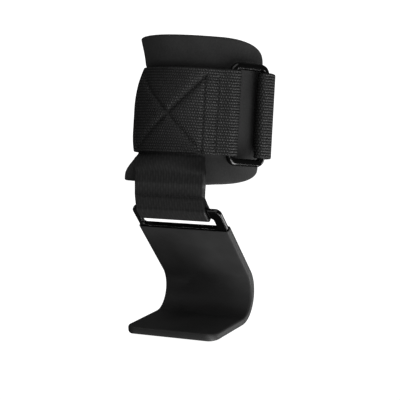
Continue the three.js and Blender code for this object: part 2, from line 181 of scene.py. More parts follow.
def mesh_piece(name, points, faces, flat_place, material):
    """An object at the origin, from points in millimetres, with its flat places in metres as UVs."""
    used, faces = np.unique(faces, return_inverse=True)
    faces = faces.reshape(-1, 4)
    mesh = bpy.data.meshes.new(name)
    mesh.from_pydata((points[used] * MM).tolist(), [], faces.tolist())
    layer = mesh.uv_layers.new(name="UVMap")
    corner_vertex = np.zeros(len(mesh.loops), dtype=np.int64)
    mesh.loops.foreach_get("vertex_index", corner_vertex)
    layer.data.foreach_set("uv", (flat_place[used][corner_vertex] * MM).ravel())
    work = bmesh.new()
    work.from_mesh(mesh)
    bmesh.ops.recalc_face_normals(work, faces=work.faces)
    work.to_mesh(mesh)
    work.free()
    mesh.shade_smooth()
    mesh.materials.append(material)
    piece = bpy.data.objects.new(name, mesh)
    bpy.context.scene.collection.objects.link(piece)
    return piece


def pad_middle(across, along):
    to_end = np.minimum(along - PAD_FROM, PAD_END_AT - along)
    top_drop = corner_drop(to_end, *PAD_TOP_CORNER)
    bottom_drop = corner_drop(to_end, *PAD_BOTTOM_CORNER)
    full_rim = np.where(across > 0, PAD_TOP, -PAD_BOTTOM)
    rim = full_rim - np.where(across > 0, top_drop, bottom_drop)
    beyond = np.maximum(0, np.abs(across) - HALF_STRAP) / (full_rim - HALF_STRAP)
    within = np.minimum(np.abs(across), HALF_STRAP)
    z = np.sign(across) * (within + (rim - HALF_STRAP) * beyond)
    wave = PAD_WAVE * np.sin(along / 9.0 + 0.07 * z) * np.sin(along / 23.0 + 1.1 + 0.05 * z)
    lift = rim_flare(along, z) - PAD_THICK / 2 + wave * beyond**0.5
    spot = on_pad(along, lift)
    return np.stack([lean_in(spot[..., 0], z), spot[..., 1], z], axis=-1)


def srgb(code):
    """A colour written as sRGB hex, as linear values."""
    parts = [int(code[i : i + 2], 16) / 255 for i in (1, 3, 5)]
    return [p / 12.92 if p <= 0.04045 else ((p + 0.055) / 1.055) ** 2.4 for p in parts] + [1.0]


def add_node(tree, kind, settings=None, inputs=None):
    """A node with its settings, and its inputs set to values or linked to other sockets."""
    node = tree.nodes.new(kind)
    for name, value in (settings or {}).items():
        setattr(node, name, value)
    for name, value in (inputs or {}).items():
        if isinstance(value, bpy.types.NodeSocket):
            tree.links.new(value, node.inputs[name])
        else:
            node.inputs[name].default_value = value
    return node


def new_material(name):
    material = bpy.data.materials.new(name)
    material.use_nodes = True
    material.node_tree.nodes.clear()
    return material, material.node_tree


# Jersey-faced neoprene, laminated: a matt knit face over foam, a little lighter where it
# catches light along the knit, with faint clouding from handling.
def make_neoprene():
    material, tree = new_material("neoprene_jersey_laminated")
    place = add_node(tree, "ShaderNodeTexCoord").outputs["Object"]
    cloud = add_node(
        tree, "ShaderNodeTexNoise", None, {"Vector": place, "Scale": 1 / (14 * MM), "Detail": 4.0}
    )
    grain = add_node(
        tree, "ShaderNodeTexNoise", None, {"Vector": place, "Scale": 1 / (1.1 * MM), "Detail": 2.0}
    )
    tone = add_node(
        tree,
        "ShaderNodeMix",
        {"data_type": "FLOAT"},
        {"Factor": 0.45, "A": cloud.outputs["Fac"], "B": grain.outputs["Fac"]},
    )
    colour = add_node(tree, "ShaderNodeValToRGB", None, {"Fac": tone.outputs["Result"]})
    colour.color_ramp.elements[0].position = 0.3
    colour.color_ramp.elements[0].color = srgb("#2a2a2a")
    colour.color_ramp.elements[1].position = 0.7
    colour.color_ramp.elements[1].color = srgb("#383838")
    bump = add_node(
        tree,
        "ShaderNodeBump",
        None,
        {"Strength": 0.5, "Distance": 0.12 * MM, "Height": grain.outputs["Fac"]},
    )
    surface = add_node(
        tree,
        "ShaderNodeBsdfPrincipled",
        None,
        {
            "Base Color": colour.outputs["Color"],
            "Roughness": 0.8,
            "Specular IOR Level": 0.3,
            "Sheen Weight": 0.12,
            "Sheen Roughness": 0.6,
            "Sheen Tint": srgb("#b8b8b8"),
            "Normal": bump.outputs["Normal"],
        },
    )
    add_node(tree, "ShaderNodeOutputMaterial", None, {"Surface": surface.outputs["BSDF"]})
    return material


PAD_FROM = PAD_END_AT + PAD_SPLIT - PAD_GIRTH
pad_points, pad_faces, pad_flat, _ = two_faces(
    edge_stops(PAD_BOTTOM, PAD_TOP, PAD_EDGE, PAD_STEP, PAD_SQUARE),
    edge_stops(PAD_FROM, PAD_END_AT, PAD_EDGE, PAD_STEP, PAD_SQUARE),
    pad_middle,
    lambda across, along, face: PAD_THICK / 2 + 0 * across,
    PAD_EDGE,
    PAD_SQUARE,
)
neoprene = make_neoprene()
wrist_pad = mesh_piece("wrist_pad_foam", pad_points, pad_faces, pad_flat, neoprene)
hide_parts("wrist_pad")
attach(wrist_pad, "root")


# Wrist strap
# One length of 50 mm nylon webbing. Its fixed end is doubled round the ring's left bar and sewn
# down, it crosses the hook strap under a crossed seam, goes round the pad and comes back
# through the ring to its free end.

GAP = 0.3
BEND_GAP = 0.45
STRAP_THICK = 1.8
STRAP_EDGE = 0.9
RING_WIRE = 4.4
LEFT_BAR_AT = 17.2
RIGHT_BAR_AT = 35.5
RIGHT_BAR_LIFT = 7.4
HOOK_STRAP_WIDE = 44.5
HOOK_STRAP_THICK = 1.7
HOOK_STRAP_AT = -17.8
BAR_CLEARANCE = 0.15
SEAM_RISE = 0.2
UNDER_TUCK = 1.2
STEP_DOWN = 8.0
BAR_APPROACH = 10.0
TAIL_SETTLE = 18.0
TAIL_LONG = 62.0
STRAP_LIFT = GAP + STRAP_THICK / 2
BACK_LAYER_LIFT = BEND_GAP + HOOK_STRAP_THICK / 2
FRONT_LAYER_LIFT = BACK_LAYER_LIFT + HOOK_STRAP_THICK + GAP
OVER_LIFT = FRONT_LAYER_LIFT + HOOK_STRAP_THICK / 2 + BEND_GAP + STRAP_THICK / 2
SEAM_LIFT = OVER_LIFT + SEAM_RISE
UNDER_LIFT = SEAM_LIFT - STRAP_THICK - GAP
BAR_WRAP = RING_WIRE / 2 + STRAP_LIFT + BAR_CLEARANCE
LEFT_BAR_LIFT = STRAP_LIFT + BAR_WRAP
TAIL_LIFT = STRAP_LIFT + STRAP_THICK + GAP
HOOK_STRAP_RIGHT = HOOK_STRAP_AT + HOOK_STRAP_WIDE / 2
HOOK_STRAP_LEFT = HOOK_STRAP_AT - HOOK_STRAP_WIDE / 2
LEFT_SEAM_AT = 10.2
RIB_PITCH = 1.65
FLOAT_LONG = 1.5
RELIEF = 0.45
CROSS_AT = -18.0
CROSS_HALF_WIDE = 19.6
CROSS_TOP = 20.0
CROSS_BOTTOM = -24.0
BAR_SEAM_AT = 8.8
TAIL_HEM_AT = 91.5
CROSS_DENT = 1.3
CROSS_DENT_WIDE = 2.3
ROW_DENT = 0.9
ROW_DENT_WIDE = 1.1
SEWN_THIN = 0.4
STRAP_STEP_ACROSS = 0.5
STRAP_STEP_ALONG = 1.7
STITCHED_STEP = 0.55
HEM_INSET = 2.0
THREAD_RADIUS = 0.28
STITCH_LONG = 2.2
STITCH_PITCH = 2.9


def run_over_pad(rows):
    """Points of a run over the pad, each with its place round it, from rows of place and lift."""
    places = []
    for (at, lift), (next_at, next_lift) in zip(rows, rows[1:]):
        share = np.linspace(0, 1, max(2, round(abs(next_at - at) / 0.8)), endpoint=False)
        height = mix(lift, next_lift, smooth_step(0, 1, share))
        places.append(np.stack([mix(at, next_at, share), height], axis=-1))
    places.append(np.array([rows[-1]]))
    places = np.concatenate(places)
    return np.column_stack([on_pad(places[:, 0], places[:, 1]), places[:, 0]])


def turn_round_bar(at, lift, sense):
    """Half a turn round a bar of the ring, from its pad side to its outer side."""
    centre = on_pad(at, lift)
    inwards = on_pad(at, 0.0) - on_pad(at, 1.0)
    start = math.atan2(inwards[1], inwards[0])
    turn = start + sense * math.pi * np.arange(1, 16) / 16
    reach = np.stack([np.cos(turn), np.sin(turn)], axis=-1) * BAR_WRAP
    return np.column_stack([centre + reach, np.full(len(turn), at)])


over_and_round = (
    (LEFT_BAR_AT, LEFT_BAR_LIFT + BAR_WRAP),
    (LEFT_SEAM_AT, SEAM_LIFT),
    (HOOK_STRAP_RIGHT, OVER_LIFT),
    (HOOK_STRAP_LEFT, OVER_LIFT),
    (HOOK_STRAP_LEFT - STEP_DOWN, STRAP_LIFT),
    (RIGHT_BAR_AT + BAR_APPROACH - PAD_GIRTH, STRAP_LIFT),
    (RIGHT_BAR_AT - PAD_GIRTH, RIGHT_BAR_LIFT - BAR_WRAP),
)
strap_parts = [
    run_over_pad(
        (
            (HOOK_STRAP_RIGHT + UNDER_TUCK, UNDER_LIFT - SEAM_RISE),
            (LEFT_SEAM_AT, UNDER_LIFT),
            (LEFT_BAR_AT, STRAP_LIFT),
        )
    ),
    turn_round_bar(LEFT_BAR_AT, LEFT_BAR_LIFT, -1),
    run_over_pad(over_and_round),
    turn_round_bar(RIGHT_BAR_AT, RIGHT_BAR_LIFT, 1),
    run_over_pad(
        (
            (RIGHT_BAR_AT, RIGHT_BAR_LIFT + BAR_WRAP),
            (RIGHT_BAR_AT + TAIL_SETTLE, TAIL_LIFT),
            (RIGHT_BAR_AT + TAIL_LONG, TAIL_LIFT),
        )
    ),
]
strap_route = np.concatenate(strap_parts)
strap_layer = np.concatenate([np.full(len(part), i) for i, part in enumerate(strap_parts)])
strap_steps = np.linalg.norm(np.diff(strap_route[:, :2], axis=0), axis=-1)
strap_length_at = np.concatenate([[0.0], np.cumsum(strap_steps)])
STRAP_LONG = strap_length_at[-1]


def strap_middle(across, along):
    x = np.interp(along, strap_length_at, strap_route[:, 0])
    y = np.interp(along, strap_length_at, strap_route[:, 1])
    return np.stack([lean_in(x, across), y, across], axis=-1)


def seam_dent(x, z, seams, depth, wide):
    """How far some seams pull the face in, each given by its two ends.

    Between the dents the face stands out a little, where the cloth puckers.
    """
    nearest = np.full(np.shape(x), 1e3)
    for (x0, z0), (x1, z1) in seams:
        length = math.hypot(x1 - x0, z1 - z0)
        share = np.clip(((x - x0) * (x1 - x0) + (z - z0) * (z1 - z0)) / length**2, 0, 1)
        away = np.hypot(x - mix(x0, x1, share), z - mix(z0, z1, share))
        nearest = np.minimum(nearest, away)
    return depth * (1 - nearest / wide) * np.exp(-nearest / wide)


cross_left = CROSS_AT - CROSS_HALF_WIDE
cross_right = CROSS_AT + CROSS_HALF_WIDE
cross_seams = (
    ((cross_left, CROSS_TOP), (cross_right, CROSS_BOTTOM)),
    ((cross_left, CROSS_BOTTOM), (cross_right, CROSS_TOP)),
)
row_seams = tuple(
    ((at, CROSS_TOP), (at, CROSS_BOTTOM)) for at in (cross_left, cross_right, BAR_SEAM_AT)
)


def over_dent(at, z):
    """The dents of all the seams through the upper layer, which always leave it some thickness."""
    cross = seam_dent(at, z, cross_seams, CROSS_DENT, CROSS_DENT_WIDE)
    rows = seam_dent(at, z, row_seams, ROW_DENT, ROW_DENT_WIDE)
    return np.minimum(cross + rows, STRAP_THICK - SEWN_THIN)


def strap_half_thick(across, along, face):
    at = np.interp(along, strap_length_at, strap_route[:, 2])
    layer = np.interp(along, strap_length_at, strap_layer)
    over = (layer > 1.99) & (layer < 2.01)
    outside = over & (face == OVER_FACE)
    dent = np.where(outside, over_dent(at, across), 0)
    return STRAP_THICK / 2 - dent


# Nylon webbing, woven on a narrow loom: warp yarns lie in ribs along its length and dive under
# the weft at even steps, so the ribs break into short floats that catch the light one by one.
# The colour paints that light in too: lighter on the crests of the ribs and floats (painted
# highlight) and darker in the grooves between them (painted shade), with faint random clouding.
def make_webbing(name, pitch, float_long, relief, painted_groove_shade, painted_crest_highlight):
    material, tree = new_material(name)
    place = add_node(tree, "ShaderNodeUVMap", {"uv_map": "UVMap"}).outputs["UV"]
    spot = add_node(tree, "ShaderNodeSeparateXYZ", None, {"Vector": place})
    rib = add_node(
        tree,
        "ShaderNodeMath",
        {"operation": "MULTIPLY"},
        {0: spot.outputs["X"], 1: 1 / (pitch * MM)},
    )
    rib_number = add_node(tree, "ShaderNodeMath", {"operation": "FLOOR"}, {0: rib.outputs[0]})
    rib_turn = add_node(
        tree, "ShaderNodeMath", {"operation": "MULTIPLY"}, {0: rib.outputs[0], 1: math.pi}
    )
    rib_wave = add_node(tree, "ShaderNodeMath", {"operation": "SINE"}, {0: rib_turn.outputs[0]})
    rib_high = add_node(tree, "ShaderNodeMath", {"operation": "ABSOLUTE"}, {0: rib_wave.outputs[0]})
    stagger = add_node(
        tree, "ShaderNodeMath", {"operation": "MULTIPLY"}, {0: rib_number.outputs[0], 1: 0.5}
    )
    float_place = add_node(
        tree,
        "ShaderNodeMath",
        {"operation": "MULTIPLY_ADD"},
        {0: spot.outputs["Y"], 1: 1 / (float_long * MM), 2: stagger.outputs[0]},
    )
    uneven = add_node(
        tree,
        "ShaderNodeTexNoise",
        {"noise_dimensions": "2D"},
        {"Vector": place, "Scale": 1 / (2.2 * MM), "Detail": 1.0},
    )
    float_shift = add_node(
        tree,
        "ShaderNodeMath",
        {"operation": "MULTIPLY_ADD"},
        {0: uneven.outputs["Fac"], 1: 0.7, 2: float_place.outputs[0]},
    )
    float_turn = add_node(
        tree, "ShaderNodeMath", {"operation": "MULTIPLY"}, {0: float_shift.outputs[0], 1: math.tau}
    )
    float_wave = add_node(
        tree, "ShaderNodeMath", {"operation": "SINE"}, {0: float_turn.outputs[0]}
    )
    float_high = add_node(
        tree,
        "ShaderNodeMath",
        {"operation": "MULTIPLY_ADD"},
        {0: float_wave.outputs[0], 1: 0.3, 2: 0.7},
    )
    # The weave's height raises the bump, and also paints the colour lighter on the crests.
    weave_height_and_painted_light = add_node(
        tree,
        "ShaderNodeMath",
        {"operation": "MULTIPLY"},
        {0: rib_high.outputs[0], 1: float_high.outputs[0]},
    )
    cloud = add_node(
        tree,
        "ShaderNodeTexNoise",
        {"noise_dimensions": "2D"},
        {"Vector": place, "Scale": 1 / (6 * MM), "Detail": 3.0},
    )
    tone = add_node(
        tree,
        "ShaderNodeMath",
        {"operation": "MULTIPLY_ADD"},
        {0: cloud.outputs["Fac"], 1: 0.3, 2: weave_height_and_painted_light.outputs[0]},
    )
    # Painted highlight and shade: the colour runs from the dark colour in the grooves to the light
    # colour on the crests.
    colour = add_node(tree, "ShaderNodeValToRGB", None, {"Fac": tone.outputs[0]})
    colour.color_ramp.elements[0].position = 0.2
    colour.color_ramp.elements[0].color = srgb(painted_groove_shade)
    colour.color_ramp.elements[1].position = 1.0
    colour.color_ramp.elements[1].color = srgb(painted_crest_highlight)
    bump = add_node(
        tree,
        "ShaderNodeBump",
        None,
        {"Strength": 1.0, "Distance": relief * MM, "Height": weave_height_and_painted_light.outputs[0]},
    )
    surface = add_node(
        tree,
        "ShaderNodeBsdfPrincipled",
        None,
        {
            "Base Color": colour.outputs["Color"],
            "Roughness": 0.5,
            "Specular IOR Level": 0.4,
            "Normal": bump.outputs["Normal"],
        },
    )
    add_node(tree, "ShaderNodeOutputMaterial", None, {"Surface": surface.outputs["BSDF"]})
    return material


# Bonded polyester thread, twisted: about as dark as the webbing and a little shinier.
def make_thread():
    material, tree = new_material("polyester_thread_bonded")
    place = add_node(tree, "ShaderNodeTexCoord").outputs["Object"]
    twist = add_node(
        tree,
        "ShaderNodeTexNoise",
        None,
        {"Vector": place, "Scale": 1 / (0.5 * MM), "Detail": 1.0},
    )
    colour = add_node(tree, "ShaderNodeValToRGB", None, {"Fac": twist.outputs["Fac"]})
    colour.color_ramp.elements[0].color = srgb("#161616")
    colour.color_ramp.elements[1].color = srgb("#383838")
    surface = add_node(
        tree,
        "ShaderNodeBsdfPrincipled",
        None,
        {"Base Color": colour.outputs["Color"], "Roughness": 0.45, "Specular IOR Level": 0.5},
    )
    add_node(tree, "ShaderNodeOutputMaterial", None, {"Surface": surface.outputs["BSDF"]})
    return material


def make_stitch_tree():
    """Lays one lock stitch after another along each run of a seam."""
    tree = bpy.data.node_groups.new("stitches_along_seam", "GeometryNodeTree")
    face = tree.interface
    face.new_socket("Geometry", in_out="INPUT", socket_type="NodeSocketGeometry")
    for name in ("Stitch Pitch", "Stitch Length", "Thread Radius"):
        face.new_socket(name, in_out="INPUT", socket_type="NodeSocketFloat")
    face.new_socket("Thread", in_out="INPUT", socket_type="NodeSocketMaterial")
    face.new_socket("Geometry", in_out="OUTPUT", socket_type="NodeSocketGeometry")
    given = add_node(tree, "NodeGroupInput")
    spots = add_node(
        tree,
        "GeometryNodeCurveToPoints",
        {"mode": "LENGTH"},
        {"Curve": given.outputs["Geometry"], "Length": given.outputs["Stitch Pitch"]},
    )
    bead = add_node(
        tree, "GeometryNodeMeshUVSphere", None, {"Segments": 8, "Rings": 6, "Radius": 1.0}
    )
    half_long = add_node(
        tree,
        "ShaderNodeMath",
        {"operation": "MULTIPLY"},
        {0: given.outputs["Stitch Length"], 1: 0.5},
    )
    shape = add_node(
        tree,
        "ShaderNodeCombineXYZ",
        None,
        {
            "X": given.outputs["Thread Radius"],
            "Y": given.outputs["Thread Radius"],
            "Z": half_long.outputs[0],
        },
    )
    laid = add_node(
        tree,
        "GeometryNodeInstanceOnPoints",
        None,
        {
            "Points": spots.outputs["Points"],
            "Instance": bead.outputs["Mesh"],
            "Rotation": spots.outputs["Rotation"],
            "Scale": shape.outputs["Vector"],
        },
    )
    real = add_node(
        tree, "GeometryNodeRealizeInstances", None, {"Geometry": laid.outputs["Instances"]}
    )
    finish = add_node(
        tree,
        "GeometryNodeSetMaterial",
        None,
        {"Geometry": real.outputs["Geometry"], "Material": given.outputs["Thread"]},
    )
    add_node(tree, "NodeGroupOutput", None, {"Geometry": finish.outputs["Geometry"]})
    return tree


def sew(name, runs, pitch=STITCH_PITCH, long=STITCH_LONG, radius=THREAD_RADIUS):
    """A piece made of the stitches along some runs, each a list of points in millimetres."""
    line = bpy.data.curves.new(name + "_line", "CURVE")
    line.dimensions = "3D"
    for run in runs:
        spline = line.splines.new("POLY")
        spline.points.add(len(run) - 1)
        spline.points.foreach_set("co", np.column_stack([run * MM, np.ones(len(run))]).ravel())
    guide = bpy.data.objects.new(name + "_line", line)
    bpy.context.scene.collection.objects.link(guide)
    modifier = guide.modifiers.new("stitches", "NODES")
    modifier.node_group = stitch_tree
    values = {
        "Stitch Pitch": pitch * MM,
        "Stitch Length": long * MM,
        "Thread Radius": radius * MM,
        "Thread": thread,
    }
    for socket in stitch_tree.interface.items_tree:
        if socket.in_out == "INPUT" and socket.name in values:
            modifier[socket.identifier] = values[socket.name]
    evaluated = guide.evaluated_get(bpy.context.evaluated_depsgraph_get())
    mesh = bpy.data.meshes.new_from_object(evaluated)
    mesh.name = name
    mesh.shade_smooth()
    piece = bpy.data.objects.new(name, mesh)
    bpy.context.scene.collection.objects.link(piece)
    bpy.data.objects.remove(guide)
    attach(piece, "root")
    return piece


def over_strap(at, z):
    """A point on the outer face of the strap's upper layer, in the bottom of a seam's dent."""
    places = np.array([row[0] for row in over_and_round[::-1]])
    lifts = np.array([row[1] for row in over_and_round[::-1]])
    step = np.clip(np.searchsorted(places, at) - 1, 0, len(places) - 2)
    share = smooth_step(0, 1, (at - places[step]) / (places[step + 1] - places[step]))
    lift = mix(lifts[step], lifts[step + 1], share)
    lift = lift + STRAP_THICK / 2 - over_dent(at, z) + 0.4 * THREAD_RADIUS
    spot = on_pad(at, lift)
    return np.stack([lean_in(spot[..., 0], z), spot[..., 1], z], axis=-1)


def straight(start, end, count=60):
    share = np.linspace(0, 1, count)
    return mix(start[0], end[0], share), mix(start[1], end[1], share)


OVER_FACE = -1
over_at = np.where(strap_layer == 2, strap_route[:, 2], np.inf)
sewn = strap_length_at[(over_at > cross_left - 3) & (over_at < BAR_SEAM_AT + 2)]
strap_stops = edge_stops(0, STRAP_LONG, STRAP_EDGE, STRAP_STEP_ALONG)
strap_stops = strap_stops[(strap_stops < sewn[0] - 0.2) | (strap_stops > sewn[-1] + 0.2)]
stitched_stops = np.arange(sewn[0], sewn[-1], STITCHED_STEP)
strap_points, strap_faces, strap_flat, _ = two_faces(
    edge_stops(-HALF_STRAP, HALF_STRAP, STRAP_EDGE, STRAP_STEP_ACROSS),
    np.sort(np.concatenate([strap_stops, stitched_stops])),
    strap_middle,
    strap_half_thick,
    STRAP_EDGE,
)
# The two colours are the painted shade in the grooves and the painted highlight on the rib crests.
wrist_webbing = make_webbing(
    "nylon_webbing_50mm_woven", RIB_PITCH, FLOAT_LONG, RELIEF, "#0b0b0b", "#2f2f2f"
)
wrist_strap = mesh_piece(
    "wrist_strap_webbing", strap_points, strap_faces, strap_flat, wrist_webbing
)
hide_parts("wrist_strap")
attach(wrist_strap, "root")

thread = make_thread()
stitch_tree = make_stitch_tree()
tail_z = np.linspace(HEM_INSET - HALF_STRAP, HALF_STRAP - HEM_INSET, 60)
tail_spot = on_pad(np.full(60, TAIL_HEM_AT), np.full(60, TAIL_LIFT + STRAP_THICK / 2))
strap_seams = sew(
    "wrist_strap_stitches",
    [
        *(over_strap(*straight(*seam)) for seam in cross_seams + row_seams),
        np.stack([lean_in(tail_spot[:, 0], tail_z), tail_spot[:, 1], tail_z], axis=-1),
    ],
)


# Strap ring
# Round steel wire, bent to a rectangle and butt welded, then enamelled gloss black.
# The strap's fixed end holds its left bar and the strap's tail turns round its right bar.

RING_AT = -0.3
RING_INNER_HIGH = 51.4
RING_CORNER = 3.4


# Gloss black enamel, baked on steel: a smooth skin with a faint orange peel and sharp highlights.
def make_enamel():
    material, tree = new_material("black_enamel_baked")
    place = add_node(tree, "ShaderNodeTexCoord").outputs["Object"]
    peel = add_node(
        tree, "ShaderNodeTexNoise", None, {"Vector": place, "Scale": 1 / (1.5 * MM), "Detail": 1.0}
    )
    smear = add_node(
        tree, "ShaderNodeTexNoise", None, {"Vector": place, "Scale": 1 / (9 * MM), "Detail": 3.0}
    )
    rough = add_node(
        tree,
        "ShaderNodeMapRange",
        None,
        {"Value": smear.outputs["Fac"], "To Min": 0.1, "To Max": 0.2},
    )
    bump = add_node(
        tree,
        "ShaderNodeBump",
        None,
        {"Strength": 0.25, "Distance": 0.04 * MM, "Height": peel.outputs["Fac"]},
    )
    surface = add_node(
        tree,
        "ShaderNodeBsdfPrincipled",
        None,
        {
            "Base Color": srgb("#080808"),
            "Roughness": rough.outputs["Result"],
            "IOR": 1.52,
            "Normal": bump.outputs["Normal"],
        },
    )
    add_node(tree, "ShaderNodeOutputMaterial", None, {"Surface": surface.outputs["BSDF"]})
    return material


def ring_centre_line(step):
    """The wire's centre line in the ring's own plane, and the outward direction at each point."""
    half_wide = np.linalg.norm(ring_right - ring_left) / 2
    half_high = (RING_INNER_HIGH + RING_WIRE) / 2
    spots = []
    for x, y, start in ((1, 1, 0.0), (-1, 1, 0.5), (-1, -1, 1.0), (1, -1, 1.5)):
        turn = math.pi * (start + np.linspace(0, 0.5, 10))
        centre = np.array([x * (half_wide - RING_CORNER), y * (half_high - RING_CORNER)])
        out = np.stack([np.cos(turn), np.sin(turn)], axis=-1)
        corner = centre + RING_CORNER * out
        spots.append(np.concatenate([corner, out], axis=-1))
    spots = np.concatenate(spots)
    filled = []
    for here, there in zip(spots, np.roll(spots, -1, axis=0)):
        count = max(1, round(np.linalg.norm(there[:2] - here[:2]) / step))
        share = np.linspace(0, 1, count, endpoint=False)[:, None]
        filled.append(mix(here, there, share))
    return np.concatenate(filled)


ring_left = on_pad(LEFT_BAR_AT, LEFT_BAR_LIFT)
ring_right = on_pad(RIGHT_BAR_AT, RIGHT_BAR_LIFT)
ring_across = (ring_right - ring_left) / np.linalg.norm(ring_right - ring_left)
ring_forward = np.array([ring_across[1], -ring_across[0]])
ring_middle = (ring_left + ring_right) / 2
ring_line = ring_centre_line(1.5)
ring_turn = np.linspace(0, math.tau, 25)[:-1]
ring_out = ring_line[:, None, 2:] * (np.cos(ring_turn) * RING_WIRE / 2)[None, :, None]
ring_flat_spot = ring_line[:, None, :2] + ring_out
ring_front = np.broadcast_to(np.sin(ring_turn) * RING_WIRE / 2, ring_flat_spot.shape[:2])
ring_xy = (
    ring_middle
    + ring_flat_spot[..., :1] * ring_across
    + ring_front[..., None] * ring_forward
)
ring_z = ring_flat_spot[..., 1:] + RING_AT
ring_points = np.concatenate([ring_xy, ring_z], axis=-1).reshape(-1, 3)
ring_number = np.arange(len(ring_points)).reshape(len(ring_line), len(ring_turn))
ring_number = np.pad(ring_number, ((0, 1), (0, 1)), mode="wrap")
enamel = make_enamel()
strap_ring = mesh_piece(
    "strap_ring_enamelled", ring_points, quads(ring_number), ring_points[:, :2], enamel
)
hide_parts("strap_ring")
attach(strap_ring, "root")


# Hook strap
# One length of 44.5 mm nylon webbing, doubled over the bar above the hook's slot. Both layers are
# sewn together just over the hook, and again under the wrist strap, where they lie on the pad.

HOOK_STRAP_TOP = 22.0
HOOK_STRAP_SHIFT = -1.7
HOOK_TOP = np.array([-11.3, -31.3, -56.7])
HOOK_TURN = math.radians(25)
SHANK_TILT = math.radians(52.8)
STEEL_THICK = 3.0
SLOT_BAR = 6.5
HANG_FROM = -HALF_STRAP - 1
FLAT_FROM = -38.0
PINCH = -50.0
PINCH_BACK = 0.2
HANG_FORWARD = -5.6
LAYER_STEP = HOOK_STRAP_THICK + GAP
BAR_CLEAR = GAP + HOOK_STRAP_THICK / 2
HOOK_RIB_PITCH = 1.7
HOOK_FLOAT_LONG = 7.0
HOOK_RELIEF = 0.07
PINCH_DENT = 0.55
PINCH_DENT_WIDE = 1.2
PINCH_INSET = 1.5
HOOK_STRAP_STEP_ACROSS = 0.8
HOOK_STRAP_STEP_ALONG = 0.9

shank_down = np.array([math.sin(SHANK_TILT), -math.cos(SHANK_TILT)])
shank_front = np.array([-math.cos(SHANK_TILT), -math.sin(SHANK_TILT)])
hook_across = np.array([math.cos(HOOK_TURN), -math.sin(HOOK_TURN)])
hook_away = np.array([math.sin(HOOK_TURN), math.cos(HOOK_TURN)])


def strap_layer_rows(lift, back):
    """Rows of y, z, lift, wrap and slide down one layer, from under the wrist strap to the pinch.

    The slide keeps the layer's edges upright where it swings back to the pinch.
    """
    z = np.linspace(HOOK_STRAP_TOP, PINCH, 90)
    y = mix(PINCH_BACK, HANG_FORWARD, smooth_step(PINCH, PAD_BOTTOM, z))
    wrap = smooth_step(FLAT_FROM, HANG_FROM, z)
    slide = math.tan(HOOK_TURN) * (HANG_FORWARD - y)
    return np.column_stack([y + back, z, np.full(len(z), lift), wrap, slide])


def bar_corner(side, along, start, end):
    """Rows round one edge of the bar."""
    corner = shank_front * side * STEEL_THICK / 2 + shank_down * along
    first = math.atan2(start[1], start[0])
    sweep = (math.atan2(end[1], end[0]) - first) % math.tau
    turn = first + sweep * np.linspace(0, 1, max(4, round(sweep / 0.2)))
    reach = np.stack([np.cos(turn), np.sin(turn)], axis=-1) * BAR_CLEAR
    return bar_rows(corner + reach)


def bar_rows(spots):
    return np.column_stack([spots[:, 0], spots[:, 1] + HOOK_TOP[2], np.zeros((len(spots), 3))])


hook_strap_rows = np.concatenate(
    [
        strap_layer_rows(FRONT_LAYER_LIFT, 0.0),
        bar_corner(1, 0, np.array([-1.0, 0.0]), shank_front),
        bar_corner(1, SLOT_BAR, shank_front, shank_down),
        bar_corner(-1, SLOT_BAR, shank_down, -shank_front),
        bar_rows(np.array([-shank_front * (STEEL_THICK / 2 + BAR_CLEAR)])),
        strap_layer_rows(BACK_LAYER_LIFT, LAYER_STEP)[::-1],
    ]
)


def hook_strap_spot(rows, aside):
    flat = (
        HOOK_TOP[:2]
        + hook_across * (aside + HOOK_STRAP_SHIFT + rows[..., 4])[..., None]
        + hook_away * rows[..., :1]
    )
    at = HOOK_STRAP_AT + aside
    z = rows[..., 1]
    spot = on_pad(at, rows[..., 2] + rim_flare(at, z))
    curved = np.stack([lean_in(spot[..., 0], z), spot[..., 1]], axis=-1)
    level = mix(flat, curved, rows[..., 3:4])
    return np.concatenate([level, z[..., None]], axis=-1)


middle_line = hook_strap_spot(hook_strap_rows, np.zeros(len(hook_strap_rows)))
hook_strap_steps = np.linalg.norm(np.diff(middle_line, axis=0), axis=-1)
hook_strap_at = np.concatenate([[0.0], np.cumsum(hook_strap_steps)])
HOOK_STRAP_LONG = hook_strap_at[-1]


def hook_strap_row(along):
    columns = [np.interp(along, hook_strap_at, hook_strap_rows[:, i]) for i in range(5)]
    return np.stack(columns, axis=-1)


def hook_strap_middle(across, along):
    return hook_strap_spot(hook_strap_row(along), across)


def hook_strap_half_thick(across, along, face):
    z = hook_strap_row(along)[..., 1]
    front = (along < HOOK_STRAP_LONG / 2) & (face == HOOK_FRONT_FACE)
    dent = PINCH_DENT * np.exp(-(((z - PINCH) / PINCH_DENT_WIDE) ** 2))
    return HOOK_STRAP_THICK / 2 - np.where(front, dent, 0)


HOOK_FRONT_FACE = 1
half_hook_strap = HOOK_STRAP_WIDE / 2
tape_points, tape_faces, tape_flat, _ = two_faces(
    edge_stops(-half_hook_strap, half_hook_strap, STRAP_EDGE, HOOK_STRAP_STEP_ACROSS),
    edge_stops(0, HOOK_STRAP_LONG, STRAP_EDGE, HOOK_STRAP_STEP_ALONG),
    hook_strap_middle,
    hook_strap_half_thick,
    STRAP_EDGE,
)
# The two colours are the painted shade in the grooves and the painted highlight on the rib crests.
hook_webbing = make_webbing(
    "nylon_webbing_44mm_woven",
    HOOK_RIB_PITCH,
    HOOK_FLOAT_LONG,
    HOOK_RELIEF,
    "#202020",
    "#2f2f2f",
)
hook_strap = mesh_piece("hook_strap_webbing", tape_points, tape_faces, tape_flat, hook_webbing)
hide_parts("hook_strap")
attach(hook_strap, "root")

